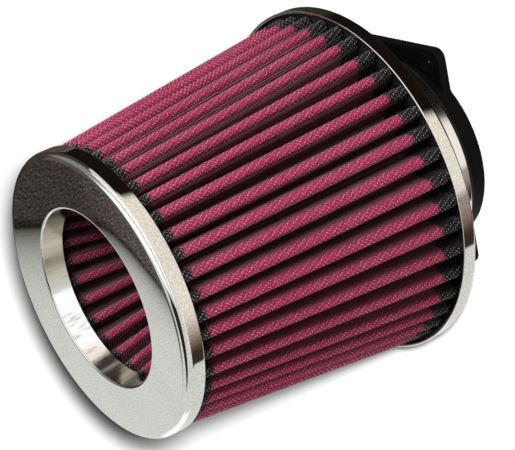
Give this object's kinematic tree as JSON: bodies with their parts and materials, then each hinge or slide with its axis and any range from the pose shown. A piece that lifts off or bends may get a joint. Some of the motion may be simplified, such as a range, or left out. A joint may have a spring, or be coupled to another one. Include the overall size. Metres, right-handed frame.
{
  "type": "cone air filter",
  "caption": "Cone-shaped pleated engine air filter with chromed end caps, an inverted inner cone behind an open mouth, and a clamped flange adapter for bolting to an air-flow meter.",
  "frame": {"origin": "centre of the outlet on the adapter's mounting face, which is the lowest face", "axes": "+Z along the filter's axis towards the open front mouth; +X along the long side of the adapter's plate"},
  "size_m": [0.15, 0.15, 0.1678],
  "materials": {
    "cap_chrome": "polished",
    "cotton": "oiled gauze in wire mesh",
    "polyurethane": "matt",
    "clamp_steel": "bright",
    "adapter_plastic": "fine grain"
  },
  "bodies": {
    "root": {"front_cap": "cap_chrome", "front_potting": "polyurethane", "outer_pleats": "cotton", "inner_pleats": "cotton", "inner_tip_cap": "polyurethane", "rear_cap": "cap_chrome", "base_neck": "polyurethane", "clamp_band": "clamp_steel", "clamp_housing": "clamp_steel", "clamp_screw": "clamp_steel", "adapter": "adapter_plastic"}
  },
  "joints": []
}
